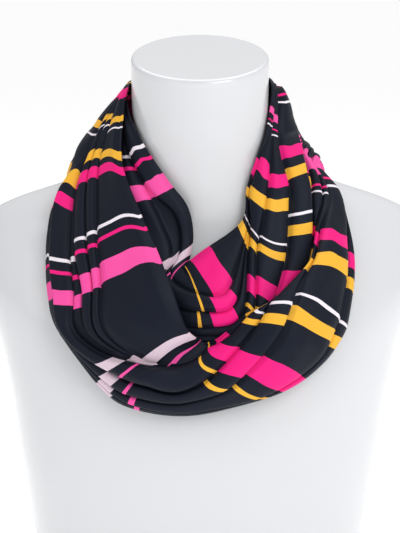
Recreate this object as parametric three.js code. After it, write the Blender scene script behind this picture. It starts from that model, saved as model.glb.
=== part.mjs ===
// Infinity scarf of striped jersey, wound twice round the neck of a limbless bust form.
// Millimetres, +Z up, the wearer faces -Y. The origin is the middle of the form's flat base.
// The scarf is one tube of cloth, so it goes round as two closed wraps, and each wrap is cut
// into the stretches that show. A wrap is worked out from sections across the cloth, then
// gathered into soft folds that run along it, and given a wall.
import * as THREE from "three";

const CLOTH_WALL = 1.8;
const SEAM_GAP = 0.3;
const CLEAR_OF_FORM = 0.45;
const CLEAR_OF_WRAP = 1.4;
const STEPS_PER_SECTION = 3;
// A fold's least share of the width, its most height for its width, how much flatter than round
// its top gets, and from what width on it is as flat as that.
const LEAST_FOLD = 0.01;
const STEEPEST_FOLD = 0.6;
const FLAT_TOP = 2.2;
const WIDE_FOLD = 50;
// How far outside the cloth the wrap below it is looked for, the most that a point moves out of
// the form, and how often the moves are eased between neighbours.
const LOOK_FROM = 20;
const FARTHEST_MOVE = 30;
const EASINGS = 3;

// Bust form. Height of each level, half its width, its front and back, and how square it is.
const FORM_FACETS = 40;
const CAP_HEIGHT = 449;
const CAP_TILT = 0.28;
const CAP_RIM = 3;
const FORM_LEVELS = [
  { z: 0, half: 150, front: -110, back: 101, square: 2.3 },
  { z: 50, half: 156, front: -117, back: 107, square: 2.3 },
  { z: 100, half: 163, front: -118, back: 114, square: 2.35 },
  { z: 150, half: 170, front: -112, back: 119, square: 2.4 },
  { z: 200, half: 180, front: -101, back: 119, square: 2.4 },
  { z: 250, half: 194, front: -84, back: 111, square: 2.3 },
  { z: 280, half: 198, front: -67, back: 101, square: 2.05 },
  { z: 300, half: 194, front: -57, back: 92, square: 1.8 },
  { z: 312, half: 186, front: -54, back: 86, square: 1.65 },
  { z: 325, half: 160, front: -54, back: 78, square: 1.55 },
  { z: 340, half: 117, front: -56, back: 68, square: 1.5 },
  { z: 350, half: 92, front: -57, back: 62, square: 1.6 },
  { z: 365, half: 68, front: -59, back: 57, square: 1.85 },
  { z: 380, half: 60, front: -62, back: 52, square: 2.0 },
  { z: 400, half: 58.5, front: -66, back: 49, square: 2.0 },
  { z: 464, half: 58, front: -80, back: 38, square: 2.0 },
];

// A wrap's sections, in order round the neck from the nape by the left of the picture.
// Each gives the cloth's upper edge, its middle and its lower edge as x, y, z.
const INNER_SECTIONS = [
  { at: "nape", upper: [0, 55, 416], middle: [0, 62, 398], lower: [0, 72, 374] },
  { at: "nape left", upper: [-44, 36, 416], middle: [-50, 42, 397], lower: [-58, 52, 376] },
  { at: "side left", upper: [-61, -8, 413], middle: [-65, -4, 395], lower: [-72, 2, 376] },
  { at: "neck left", upper: [-60, -26, 399], middle: [-64, -22, 389], lower: [-70, -18, 374] },
  { at: "white left", upper: [-48, -46, 377], middle: [-60, -40, 366], lower: [-74, -30, 358] },
  { at: "rose left", upper: [-28, -59, 349], middle: [-46, -62, 341], lower: [-66, -56, 334] },
  { at: "fold left", upper: [-12, -63, 328], middle: [-34, -70, 317], lower: [-58, -66, 307] },
  { at: "lilac left", upper: [-7, -66, 304], middle: [-28, -82, 288], lower: [-48, -82, 274] },
  { at: "neckline", upper: [-10, -75, 286], middle: [-28, -95, 266], lower: [-32, -101, 232] },
  { at: "thin gold", upper: [-12, -82, 282], middle: [2, -107, 252], lower: [8, -103, 214] },
  { at: "wide pink", upper: [2, -77, 292], middle: [29, -104, 258], lower: [56, -95, 226] },
  { at: "gold right", upper: [35, -62, 314], middle: [57, -79, 288], lower: [88, -66, 280] },
  { at: "collar right", upper: [40, -54, 341], middle: [62, -60, 330], lower: [92, -48, 332] },
  { at: "pink right", upper: [47, -48, 363], middle: [65, -50, 350], lower: [87, -34, 355] },
  { at: "white right", upper: [57, -30, 390], middle: [66, -22, 380], lower: [82, -14, 378] },
  { at: "side right", upper: [62, -4, 426], middle: [72, 4, 404], lower: [79, 8, 370] },
  { at: "nape right", upper: [46, 36, 423], middle: [53, 42, 402], lower: [60, 54, 374] },
];
const OUTER_SECTIONS = [
  { at: "nape", upper: [0, 71, 416], middle: [0, 86, 384], lower: [0, 78, 338] },
  { at: "nape left", upper: [-49, 44, 423], middle: [-71, 60, 386], lower: [-82, 64, 342] },
  { at: "side left", upper: [-62, -5, 425], middle: [-87, 0, 391], lower: [-112, 6, 351] },
  { at: "gold high left", upper: [-65, -28, 402], middle: [-90, -22, 373], lower: [-115, -18, 338] },
  { at: "pink left", upper: [-66, -52, 363], middle: [-96, -33, 347], lower: [-127, -33, 316] },
  { at: "white left", upper: [-50, -80, 326], middle: [-93, -71, 303], lower: [-129, -53, 284] },
  { at: "rose left", upper: [-36, -94, 297], middle: [-88, -93, 270], lower: [-125, -75, 252] },
  { at: "low left", upper: [-23, -112, 267], middle: [-77, -111, 236], lower: [-116, -87, 229] },
  { at: "lilac", upper: [-13, -121, 241], middle: [-53, -121, 211], lower: [-79, -107, 185] },
  { at: "thin pink", upper: [-4, -117, 230], middle: [-38, -125, 203], lower: [-51, -115, 171] },
  { at: "bottom", upper: [0, -113, 227], middle: [-16, -127, 197], lower: [-7, -118, 167] },
  { at: "thin gold", upper: [5, -113, 225], middle: [16, -128, 197], lower: [46, -114, 178] },
  { at: "wide pink", upper: [14, -113, 228], middle: [44, -125, 212], lower: [77, -108, 189] },
  { at: "low right", upper: [24, -112, 236], middle: [67, -119, 228], lower: [102, -97, 206] },
  { at: "gold low right", upper: [36, -111, 247], middle: [72, -114, 248], lower: [117, -88, 225] },
  { at: "white low right", upper: [56, -108, 257], middle: [83, -104, 262], lower: [122, -83, 238] },
  { at: "gold right", upper: [87, -87, 278], middle: [102, -82, 287], lower: [128, -66, 267] },
  { at: "pink right", upper: [95, -60, 301], middle: [108, -64, 303], lower: [129, -51, 290] },
  { at: "plain right", upper: [86, -40, 328], middle: [106, -44, 324], lower: [124, -33, 314] },
  { at: "white high right", upper: [83, -29, 345], middle: [103, -28, 341], lower: [120, -16, 330] },
  { at: "rose high right", upper: [82, -8, 372], middle: [92, -9, 360], lower: [108, -4, 344] },
  { at: "side right", upper: [84, 13, 382], middle: [93, 12, 368], lower: [106, 10, 352] },
  { at: "nape right", upper: [62, 52, 397], middle: [72, 59, 372], lower: [82, 62, 344] },
];

// The folds lie side by side across a wrap, from its upper edge to its lower one. A row gives, at
// one place, how high the upper edge stands and, for each fold, the share of the width where it
// ends, how high its crest stands and how high the crease after it stands.
const INNER_FOLDS = [
  { at: "nape", edge: 1, ends: [0.2, 0.36, 0.52, 0.68, 0.84, 1],
    crests: [4, 4, 4, 4, 4, 4], creases: [1, 1, 1, 1, 1, 1] },
  { at: "side left", edge: 1, ends: [0.3, 0.4, 0.66, 0.78, 0.9, 1],
    crests: [4, 1, 4, 2, 2, 2], creases: [0, 0, 0, 1, 1, 1] },
  { at: "white left", edge: 2, ends: [0.42, 0.46, 0.8, 0.88, 0.94, 1],
    crests: [5, -1, 5, 2, 2, 2], creases: [-1, -1, 0, 1, 1, 1] },
  { at: "rose left", edge: 2, ends: [0.4, 0.45, 0.88, 0.93, 0.97, 1],
    crests: [6, -1, 6, 1, 1, 1], creases: [-1, -1, 0, 0, 0, 1] },
  { at: "fold left", edge: 2, ends: [0.22, 0.46, 0.9, 0.94, 0.97, 1],
    crests: [6, -2, 6, 1, 1, 1], creases: [0, -1, 0, 0, 0, 1] },
  { at: "lilac left", edge: 2, ends: [0.22, 0.38, 0.9, 0.94, 0.97, 1],
    crests: [6, -2, 6, 1, 1, 1], creases: [0, -1, 0, 0, 0, 1] },
  { at: "neckline", edge: 2, ends: [0.34, 0.62, 0.85, 0.9, 0.95, 1],
    crests: [4, 6, 3, 2, 2, 2], creases: [0, 0, 0, 0, 0, 1] },
  { at: "thin gold", edge: 2, ends: [0.33, 0.52, 0.7, 0.8, 0.9, 1],
    crests: [5, 9, 4, 2, 2, 2], creases: [0, 0, -1, -1, 0, 1] },
  { at: "wide pink", edge: 2, ends: [0.38, 0.5, 0.62, 0.74, 0.86, 1],
    crests: [5, 8, 4, 5, 5, 5], creases: [0, 0, -1, -1, -1, 1] },
  { at: "gold right", edge: 2, ends: [0.1, 0.13, 0.16, 0.3, 0.72, 1],
    crests: [4, 2, 1, 6, 7, 8], creases: [0, 0, -1, -1, -1, 2] },
  { at: "collar right", edge: 2, ends: [0.01, 0.02, 0.03, 0.36, 0.72, 1],
    crests: [2, 1, 1, 5, 6, 9], creases: [1, 0, 0, -1, -2, 2] },
  { at: "pink right", edge: 2, ends: [0.01, 0.02, 0.03, 0.3, 0.68, 1],
    crests: [2, 1, 1, 5, 6, 9], creases: [1, 0, 0, -1, -2, 2] },
  { at: "white right", edge: 2, ends: [0.01, 0.02, 0.03, 0.16, 0.4, 1],
    crests: [2, 1, 1, 3, 5, 8], creases: [1, 0, 0, -1, -1, 2] },
  { at: "side right", edge: 1, ends: [0.01, 0.02, 0.03, 0.05, 0.08, 1],
    crests: [1, 1, 1, 1, 2, 7], creases: [1, 1, 0, 0, 0, 1] },
  { at: "nape right", edge: 1, ends: [0.14, 0.28, 0.42, 0.56, 0.72, 1],
    crests: [3, 3, 3, 4, 4, 5], creases: [1, 1, 1, 1, 1, 1] },
];
const OUTER_FOLDS = [
  { at: "nape", edge: 1, ends: [0.14, 0.3, 0.45, 0.56, 0.7, 0.8, 0.92, 1],
    crests: [5, 6, 5, 6, 7, 5, 6, 4], creases: [1, 1, 1, 1, 1, 2, 1, 1] },
  { at: "nape left", edge: 1, ends: [0.08, 0.16, 0.24, 0.3, 0.58, 0.75, 0.92, 1],
    crests: [3, 4, 4, 3, 6, 6, 6, 4], creases: [1, 1, 0, -1, 3, 4, 3, 1] },
  { at: "side left", edge: 1, ends: [0.05, 0.1, 0.15, 0.19, 0.78, 0.88, 0.95, 1],
    crests: [2, 2, 2, 0, 4, 3, 3, 2], creases: [0, 0, 0, -1, 2, 2, 2, 1] },
  { at: "gold high left", edge: 2, ends: [0.2, 0.32, 0.47, 0.53, 0.92, 0.95, 0.98, 1],
    crests: [4, 4, 5, 1, 4, 4, 3, 2], creases: [0, -1, -1, -2, 3, 3, 2, 1] },
  { at: "pink left", edge: 2, ends: [0.33, 0.46, 0.6, 0.66, 0.92, 0.95, 0.98, 1],
    crests: [4, 5, 6, 2, 7, 5, 4, 3], creases: [-1, -1, -1, -2, 5, 4, 3, 1] },
  { at: "white left", edge: 3, ends: [0.4, 0.5, 0.64, 0.7, 0.92, 0.95, 0.98, 1],
    crests: [5, 5, 6, 1, 7, 5, 4, 3], creases: [-1, -1, -1, -2, 5, 4, 3, 1] },
  { at: "rose left", edge: 4, ends: [0.42, 0.49, 0.6, 0.69, 0.9, 0.94, 0.97, 1],
    crests: [6, 5, 5, 2, 7, 5, 4, 3], creases: [-1, -1, -1, -2, 5, 4, 3, 1] },
  { at: "low left", edge: 5, ends: [0.5, 0.57, 0.66, 0.77, 0.91, 0.95, 0.98, 1],
    crests: [8, 4, 4, -1, 8, 5, 4, 3], creases: [0, -1, -2, -2, 3, 4, 3, 1] },
  { at: "lilac", edge: 3, ends: [0.42, 0.45, 0.47, 0.49, 0.7, 0.86, 0.94, 1],
    crests: [4, -1, -1, -1, 11, 7, 5, 4], creases: [-1, -1, -1, -2, 0, 2, 3, 1] },
  { at: "thin pink", edge: 1, ends: [0.34, 0.35, 0.36, 0.38, 0.64, 0.82, 0.94, 1],
    crests: [0, -1, -1, -1, 12, 8, 6, 4], creases: [-1, -1, -1, -2, 0, 1, 3, 1] },
  { at: "bottom", edge: 0, ends: [0.22, 0.23, 0.24, 0.26, 0.62, 0.78, 0.94, 1],
    crests: [-1, -1, -1, -1, 11, 8, 6, 4], creases: [-1, -1, -1, -2, 0, 1, 3, 1] },
  { at: "thin gold", edge: 0, ends: [0.02, 0.03, 0.04, 0.05, 0.36, 0.62, 0.92, 1],
    crests: [-1, -1, -1, -1, 9, 8, 7, 4], creases: [-1, -1, -1, -2, 0, 1, 3, 1] },
  { at: "wide pink", edge: 1, ends: [0.01, 0.02, 0.03, 0.04, 0.25, 0.5, 0.94, 1],
    crests: [0, 0, 0, 0, 7, 8, 7, 4], creases: [0, 0, 0, -1, 0, 1, 2, 1] },
  { at: "low right", edge: 2, ends: [0.01, 0.02, 0.03, 0.04, 0.18, 0.42, 0.94, 1],
    crests: [1, 1, 1, 1, 5, 7, 7, 3], creases: [1, 1, 1, 0, -1, 0, 1, 1] },
  { at: "gold low right", edge: 2, ends: [0.01, 0.02, 0.03, 0.04, 0.22, 0.48, 0.93, 1],
    crests: [1, 1, 1, 1, 3, 7, 6, 3], creases: [1, 1, 1, 0, -2, 0, 1, 1] },
  { at: "white low right", edge: 2, ends: [0.01, 0.02, 0.03, 0.04, 0.1, 0.4, 0.93, 1],
    crests: [1, 1, 1, 1, 2, 6, 6, 3], creases: [1, 1, 1, 0, -2, 0, 1, 1] },
  { at: "gold right", edge: 2, ends: [0.01, 0.02, 0.03, 0.04, 0.06, 0.2, 0.92, 1],
    crests: [1, 1, 1, 1, 1, 5, 6, 3], creases: [1, 1, 1, 0, 0, -1, 0, 1] },
  { at: "pink right", edge: 2, ends: [0.01, 0.02, 0.03, 0.04, 0.06, 0.2, 0.9, 1],
    crests: [1, 1, 1, 1, 1, 5, 6, 3], creases: [1, 1, 1, 0, 0, -1, 0, 1] },
  { at: "plain right", edge: 1, ends: [0.05, 0.1, 0.14, 0.18, 0.4, 0.54, 0.97, 1],
    crests: [0, 0, 0, 0, 4, 4, 5, 3], creases: [0, 0, 0, -1, -1, -1, 1, 1] },
  { at: "white high right", edge: 1, ends: [0.06, 0.12, 0.2, 0.28, 0.48, 0.62, 0.94, 1],
    crests: [1, 1, 1, 3, 5, 4, 5, 3], creases: [0, 0, 0, -1, -1, -1, 2, 1] },
  { at: "rose high right", edge: 1, ends: [0.08, 0.16, 0.24, 0.32, 0.5, 0.64, 0.86, 1],
    crests: [2, 2, 2, 3, 5, 4, 5, 3], creases: [0, 0, 0, -1, -1, -1, 2, 1] },
  { at: "side right", edge: 1, ends: [0.1, 0.2, 0.3, 0.4, 0.56, 0.7, 0.86, 1],
    crests: [3, 3, 3, 3, 5, 5, 5, 3], creases: [0, 0, 0, 0, 0, 0, 2, 1] },
];

// The stretches that show, each from one section to another, in order round the wrap.
const INNER_STRETCHES = [
  { name: "inner_left", from: "side left", to: "neckline" },
  { name: "inner_cross", from: "neckline", to: "gold right" },
  { name: "inner_right", from: "gold right", to: "side right" },
  { name: "inner_back", from: "side right", to: "side left" },
];
const OUTER_STRETCHES = [
  { name: "outer_left", from: "side left", to: "low left" },
  { name: "outer_front", from: "low left", to: "low right" },
  { name: "outer_right", from: "low right", to: "side right" },
  { name: "outer_back", from: "side right", to: "side left" },
];

const CLOTH = new THREE.MeshStandardMaterial({ color: 0x1b1e25, roughness: 0.62, metalness: 0 });
const GLOSS = new THREE.MeshStandardMaterial({ color: 0xf1f2f4, roughness: 0.18, metalness: 0 });

// The form's level at a height, read between the rows of its table.
function formLevel(z) {
  const last = FORM_LEVELS.length - 1;
  let i = 0;
  while (i < last - 1 && z > FORM_LEVELS[i + 1].z) i += 1;
  const low = FORM_LEVELS[i];
  const high = FORM_LEVELS[i + 1];
  const t = THREE.MathUtils.clamp((z - low.z) / (high.z - low.z), 0, 1);
  const between = (key) => THREE.MathUtils.lerp(low[key], high[key], t);
  const front = between("front");
  const back = between("back");
  return {
    half: between("half"),
    centre: (front + back) / 2,
    depth: (back - front) / 2,
    square: between("square"),
  };
}

// One point of the form's skin at an angle round a level.
function formPoint(level, angle, z) {
  const c = Math.cos(angle);
  const s = Math.sin(angle);
  const power = 2 / level.square;
  const x = level.half * Math.sign(c) * Math.abs(c) ** power;
  const y = level.centre + level.depth * Math.sign(s) * Math.abs(s) ** power;
  return [x, y, z];
}

// How far out of the form a point is: 1 on a skin grown by the margin, more outside it.
function outsideForm(point, margin) {
  const level = formLevel(point.z - margin);
  const x = Math.abs(point.x) / (level.half + margin);
  const y = Math.abs(point.y - level.centre) / (level.depth + margin);
  return x ** level.square + y ** level.square;
}

// A closed mesh from rings of points: the rings are joined in order and the two ends capped.
function loftedSolid(rings) {
  const count = rings[0].length;
  const positions = rings.flat(2);
  const index = [];
  for (let r = 0; r < rings.length - 1; r += 1) {
    for (let i = 0; i < count; i += 1) {
      const j = (i + 1) % count;
      const a = r * count + i;
      const b = r * count + j;
      index.push(a, b, b + count, a, b + count, a + count);
    }
  }
  const top = (rings.length - 1) * count;
  for (let i = 1; i < count - 1; i += 1) {
    index.push(0, i + 1, i);
    index.push(top, top + i, top + i + 1);
  }
  return indexedGeometry(positions, index);
}

function indexedGeometry(positions, index) {
  const geometry = new THREE.BufferGeometry();
  geometry.setAttribute("position", new THREE.Float32BufferAttribute(positions, 3));
  geometry.setIndex(index);
  geometry.computeVertexNormals();
  return geometry;
}

// The bust form: level rings up to the throat, then rings that lean with the tilted cap.
function makeForm() {
  const angles = Array.from({ length: FORM_FACETS }, (_, i) => (2 * Math.PI * i) / FORM_FACETS);
  const rings = [];
  for (const row of FORM_LEVELS.slice(0, -1)) {
    const level = formLevel(row.z);
    rings.push(angles.map((angle) => formPoint(level, angle, row.z)));
  }
  const throat = formLevel(CAP_HEIGHT);
  const rim = { ...throat, half: throat.half - CAP_RIM, depth: throat.depth - CAP_RIM };
  const lean = (level, height) =>
    angles.map((angle) => {
      const [x, y] = formPoint(level, angle, 0);
      return [x, y, height + CAP_TILT * (y - level.centre)];
    });
  rings.push(lean(throat, CAP_HEIGHT - CAP_RIM));
  rings.push(lean(rim, CAP_HEIGHT));
  return new THREE.Mesh(loftedSolid(rings), GLOSS);
}

// A smooth closed curve through values at whole steps.
function roundCurve(values, t) {
  const n = values.length;
  const i = Math.floor(t);
  const f = t - i;
  const at = (k) => values[(((i + k) % n) + n) % n];
  const [a, b, c, d] = [at(-1), at(0), at(1), at(2)];
  return b + 0.5 * f * (c - a + f * (2 * a - 5 * b + 4 * c - d + f * (3 * (b - c) + d - a)));
}

// The cloth before it is gathered: s runs along the wrap in sections, t across it from 0 to 1.
function flatPoint(sections, s, t) {
  const weights = [(1 - t) * (1 - 2 * t), 4 * t * (1 - t), t * (2 * t - 1)];
  const keys = ["upper", "middle", "lower"];
  const along = (axis) =>
    keys.reduce((sum, key, k) => sum + weights[k] * roundCurve(sections.map((row) => row[key][axis]), s), 0);
  return new THREE.Vector3(along(0), along(1), along(2));
}

// The way out of the cloth at a point: between the cloth's own and the form's. Both are found by
// small steps, the first in shares of a section and of the width, the second in mm.
function flatNormal(sections, s, t) {
  const step = 0.05;
  const reach = 3;
  const low = Math.max(0, t - step);
  const high = Math.min(1, t + step);
  const along = flatPoint(sections, s + step, t).sub(flatPoint(sections, s - step, t));
  const across = flatPoint(sections, s, high).sub(flatPoint(sections, s, low));
  const point = flatPoint(sections, s, t);
  const fromForm = new THREE.Vector3();
  for (const axis of ["x", "y", "z"]) {
    const more = point.clone();
    const less = point.clone();
    more[axis] += reach;
    less[axis] -= reach;
    fromForm[axis] = outsideForm(more, 0) - outsideForm(less, 0);
  }
  return across.cross(along).normalize().add(fromForm.normalize()).normalize();
}

// A number of the folds at s, on a smooth curve through the places where it is given.
function betweenPlaces(wrap, pick, s) {
  const n = wrap.sections.length;
  const count = wrap.folds.length;
  const stops = wrap.folds.map((row) => wrap.sections.findIndex((section) => section.at === row.at));
  let k = count - 1;
  while (k > 0 && s < stops[k]) k -= 1;
  const around = [-1, 0, 1, 2].map((step) => (k + step + count) % count);
  const [before, here, next, after] = around.map((i) => pick(wrap.folds[i]));
  const gaps = [0, 1, 2].map((i) => (stops[around[i + 1]] - stops[around[i]] + n) % n);
  const f = (s - stops[k]) / gaps[1];
  const slopeIn = ((next - before) / (gaps[0] + gaps[1])) * gaps[1];
  const slopeOut = ((after - here) / (gaps[1] + gaps[2])) * gaps[1];
  const eased = THREE.MathUtils.lerp(here, next, THREE.MathUtils.smoothstep(f, 0, 1));
  return eased + slopeIn * f * (1 - f) ** 2 - slopeOut * f * f * (1 - f);
}

// The folds across a wrap at s: where each starts and ends, and the heights of its creases and crest.
function foldsAt(wrap, s) {
  const count = wrap.folds[0].ends.length;
  const folds = [];
  let start = 0;
  let before = betweenPlaces(wrap, (row) => row.edge, s);
  for (let k = 0; k < count; k += 1) {
    const given = betweenPlaces(wrap, (row) => row.ends[k], s);
    const room = 1 - (count - 1 - k) * LEAST_FOLD;
    const end = k === count - 1 ? 1 : THREE.MathUtils.clamp(given, start + LEAST_FOLD, room);
    const crest = betweenPlaces(wrap, (row) => row.crests[k], s);
    const after = betweenPlaces(wrap, (row) => row.creases[k], s);
    folds.push({ start, end, before, crest, after });
    start = end;
    before = after;
  }
  return folds;
}

// The cloth's width at s before it is gathered.
function flatWidth(sections, s) {
  const [upper, middle, lower] = [0, 0.5, 1].map((t) => flatPoint(sections, s, t));
  return upper.distanceTo(middle) + middle.distanceTo(lower);
}

// The gathered cloth at s, point by point across it. A fold is round, and flatter on top the
// wider it is, and no fold is steeper than cloth can stand.
function gatheredRow(wrap, s) {
  const row = [];
  const breadth = flatWidth(wrap.sections, s);
  foldsAt(wrap, s).forEach((fold, k) => {
    const width = (fold.end - fold.start) * breadth;
    const rise = Math.min(fold.crest - (fold.before + fold.after) / 2, STEEPEST_FOLD * width);
    const power = 2 + FLAT_TOP * Math.min(1, width / WIDE_FOLD);
    for (let i = k === 0 ? 0 : 1; i <= wrap.pointsPerFold; i += 1) {
      const u = i / wrap.pointsPerFold;
      const t = THREE.MathUtils.lerp(fold.start, fold.end, u);
      const bulge = (1 - Math.abs(2 * u - 1) ** power) ** (1 / power);
      const height = THREE.MathUtils.lerp(fold.before, fold.after, u) + rise * bulge;
      const out = flatNormal(wrap.sections, s, t);
      const skin = flatPoint(wrap.sections, s, t).addScaledVector(out, height);
      row.push({ s, out, skin, push: 0 });
    }
  });
  return row;
}

// A wrap as rows of points, each with its outer skin, the way out, and its inner skin.
// It is moved out of the form, and out of the wrap that lies under it.
function makeWrap(wrap, under) {
  const rows = [];
  const count = wrap.sections.length * STEPS_PER_SECTION;
  for (let i = 0; i < count; i += 1) {
    rows.push(gatheredRow(wrap, i / STEPS_PER_SECTION));
  }
  for (const point of rows.flat()) {
    point.push = clearance(point, under, wrap);
  }
  spreadPush(rows);
  for (const point of rows.flat()) {
    point.skin.addScaledVector(point.out, point.push);
    point.lining = point.skin.clone().addScaledVector(point.out, -CLOTH_WALL);
  }
  return rows;
}

// How far a point moves out to clear the form and the skin of the wrap under it.
function clearance(point, under, wrap) {
  const probe = point.skin.clone().addScaledVector(point.out, -CLOTH_WALL);
  let push = 0;
  while (push < FARTHEST_MOVE && outsideForm(probe, CLEAR_OF_FORM) < 1) {
    probe.add(point.out);
    push += 1;
  }
  if (point.s > wrap.liesOver) return push;
  const from = point.skin.clone().addScaledVector(point.out, LOOK_FROM);
  const inward = new THREE.Ray(from, point.out.clone().negate());
  const met = new THREE.Vector3();
  for (const [a, b, c] of under) {
    if (inward.intersectTriangle(a, b, c, false, met)) {
      const height = LOOK_FROM - met.distanceTo(from);
      push = Math.max(push, CLOTH_WALL + CLEAR_OF_WRAP + height);
    }
  }
  return push;
}

// The triangles of a wrap's outer skin.
function skinTriangles(rows) {
  const triangles = [];
  rows.forEach((row, i) => {
    const next = rows[(i + 1) % rows.length];
    for (let j = 0; j < row.length - 1; j += 1) {
      const [a, b, c, d] = [row[j], row[j + 1], next[j + 1], next[j]].map((point) => point.skin);
      triangles.push([a, b, c], [a, c, d]);
    }
  });
  return triangles;
}

// Eases the moves between neighbours, never below what each point needs.
function spreadPush(rows) {
  const n = rows.length;
  for (let pass = 0; pass < EASINGS; pass += 1) {
    const before = rows.map((row) => row.map((point) => point.push));
    rows.forEach((row, i) => {
      row.forEach((point, j) => {
        const left = before[(i + n - 1) % n][j];
        const right = before[(i + 1) % n][j];
        const up = before[i][Math.max(0, j - 1)];
        const down = before[i][Math.min(row.length - 1, j + 1)];
        point.push = Math.max(before[i][j], (left + right + up + down) / 4);
      });
    });
  }
}

// One stretch of a wrap as a closed wall, drawn back from its neighbours by half the seam gap.
function makeStretch(rows, sections, stretch) {
  const n = rows.length;
  const place = (at) => sections.findIndex((row) => row.at === at) * STEPS_PER_SECTION;
  const start = place(stretch.from);
  const length = (place(stretch.to) - start + n) % n || n;
  const picked = [];
  for (let k = 0; k <= length; k += 1) {
    const row = rows[(start + k) % n];
    const ends = { 0: rows[(start + 1) % n], [length]: rows[(start + length - 1) % n] };
    const toward = ends[k];
    picked.push({ skin: drawnBack(row, toward, "skin"), lining: drawnBack(row, toward, "lining") });
  }
  const width = rows[0].length;
  const positions = [];
  for (const row of picked) {
    for (const point of [...row.skin, ...row.lining]) positions.push(point.x, point.y, point.z);
  }
  const at = (i, j, inside) => i * 2 * width + (inside ? width : 0) + j;
  const index = [];
  const quad = (a, b, c, d) => index.push(a, b, c, a, c, d);
  for (let i = 0; i < length; i += 1) {
    for (let j = 0; j < width - 1; j += 1) {
      quad(at(i, j, false), at(i, j + 1, false), at(i + 1, j + 1, false), at(i + 1, j, false));
      quad(at(i, j, true), at(i + 1, j, true), at(i + 1, j + 1, true), at(i, j + 1, true));
    }
    quad(at(i, 0, false), at(i + 1, 0, false), at(i + 1, 0, true), at(i, 0, true));
    const e = width - 1;
    quad(at(i, e, false), at(i, e, true), at(i + 1, e, true), at(i + 1, e, false));
  }
  for (let j = 0; j < width - 1; j += 1) {
    quad(at(0, j, false), at(0, j, true), at(0, j + 1, true), at(0, j + 1, false));
    quad(at(length, j, false), at(length, j + 1, false), at(length, j + 1, true), at(length, j, true));
  }
  return new THREE.Mesh(indexedGeometry(positions, index), CLOTH);
}

function drawnBack(row, toward, face) {
  return row.map((point, j) => {
    const moved = point[face].clone();
    if (toward) {
      const step = toward[j][face].clone().sub(moved);
      moved.addScaledVector(step.normalize(), SEAM_GAP / 2);
    }
    return moved;
  });
}

const innerWrap = { sections: INNER_SECTIONS, folds: INNER_FOLDS, pointsPerFold: 3 };
const outerWrap = {
  sections: OUTER_SECTIONS,
  folds: OUTER_FOLDS,
  pointsPerFold: 4,
  liesOver: OUTER_SECTIONS.findIndex((row) => row.at === "gold right"),
};

const scarf = new THREE.Group();
const form = makeForm();
form.name = "bust_form";
scarf.add(form);

const innerRows = makeWrap(innerWrap, []);
const outerRows = makeWrap(outerWrap, skinTriangles(innerRows));
for (const stretch of INNER_STRETCHES) {
  const mesh = makeStretch(innerRows, INNER_SECTIONS, stretch);
  mesh.name = stretch.name;
  scarf.add(mesh);
}
for (const stretch of OUTER_STRETCHES) {
  const mesh = makeStretch(outerRows, OUTER_SECTIONS, stretch);
  mesh.name = stretch.name;
  scarf.add(mesh);
}

export default scarf;
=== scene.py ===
import math

import bpy
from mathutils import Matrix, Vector, noise
from mathutils.bvhtree import BVHTree


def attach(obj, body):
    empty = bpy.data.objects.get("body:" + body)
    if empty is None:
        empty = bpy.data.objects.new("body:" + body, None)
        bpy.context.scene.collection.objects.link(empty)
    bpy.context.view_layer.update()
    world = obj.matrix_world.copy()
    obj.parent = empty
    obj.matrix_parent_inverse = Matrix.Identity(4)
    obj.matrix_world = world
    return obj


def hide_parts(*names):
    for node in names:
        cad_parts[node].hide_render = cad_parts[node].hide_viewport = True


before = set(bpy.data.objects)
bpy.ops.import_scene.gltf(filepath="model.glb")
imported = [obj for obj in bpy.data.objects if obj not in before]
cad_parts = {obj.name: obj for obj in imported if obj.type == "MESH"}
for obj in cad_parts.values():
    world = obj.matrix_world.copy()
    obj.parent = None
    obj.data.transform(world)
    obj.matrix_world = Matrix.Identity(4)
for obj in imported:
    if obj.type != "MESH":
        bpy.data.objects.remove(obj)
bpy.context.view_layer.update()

# Camera
# Straight in front of the neck and a little above it, looking 13 degrees down.
CAMERA_TILT = math.radians(13)
CAMERA_DISTANCE = 1.0
LOOKED_AT = Vector((0, -0.060, 0.277))
LENS_MM = 80.4
SENSOR_MM = 36
camera = bpy.data.objects.new("camera", bpy.data.cameras.new("camera"))
bpy.context.scene.collection.objects.link(camera)
looking = Vector((0, math.cos(CAMERA_TILT), -math.sin(CAMERA_TILT)))
camera.location = LOOKED_AT - CAMERA_DISTANCE * looking
camera.rotation_euler = looking.to_track_quat("-Z", "Y").to_euler()
camera.data.lens = LENS_MM
camera.data.sensor_width = SENSOR_MM
bpy.context.scene.camera = camera


# Bust form
# A moulded shell of white gloss lacquer: neck, shoulders and chest, cut off flat at the foot.
# It is lofted through level sections, and its round neck ends in a flat cap that leans forward.
# The tables are in mm, and the meshes in metres.
MM = 0.001
FORM_LEVELS = [
    # height, half width, front, back, how square
    (0, 150, -110, 101, 2.3),
    (50, 156, -117, 107, 2.3),
    (100, 163, -118, 114, 2.35),
    (150, 170, -112, 119, 2.4),
    (200, 180, -101, 119, 2.4),
    (250, 194, -84, 111, 2.3),
    (280, 198, -67, 101, 2.05),
    (300, 194, -57, 92, 1.8),
    (312, 186, -54, 86, 1.65),
    (325, 160, -54, 78, 1.55),
    (340, 117, -56, 68, 1.5),
    (350, 92, -57, 62, 1.6),
    (365, 68, -59, 57, 1.85),
    (380, 60, -62, 52, 2.0),
    (400, 58.5, -66, 49, 2.0),
    (464, 58, -80, 38, 2.0),
]
CAP_HEIGHT = 449
CAP_TILT = 0.28
CAP_RIM = 3
FORM_FACETS = 160
FORM_STEPS = 6
GLOSS = {
    "Base Color": (0.62, 0.63, 0.65, 1),
    "Roughness": 0.22,
    "Coat Weight": 0.6,
    "Coat Roughness": 0.06,
}


def between(a, b, f):
    return a + (b - a) * f


def eased(f):
    """A share from 0 to 1 that starts and ends slowly."""
    f = min(1.0, max(0.0, f))
    return f * f * (3 - 2 * f)


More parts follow.
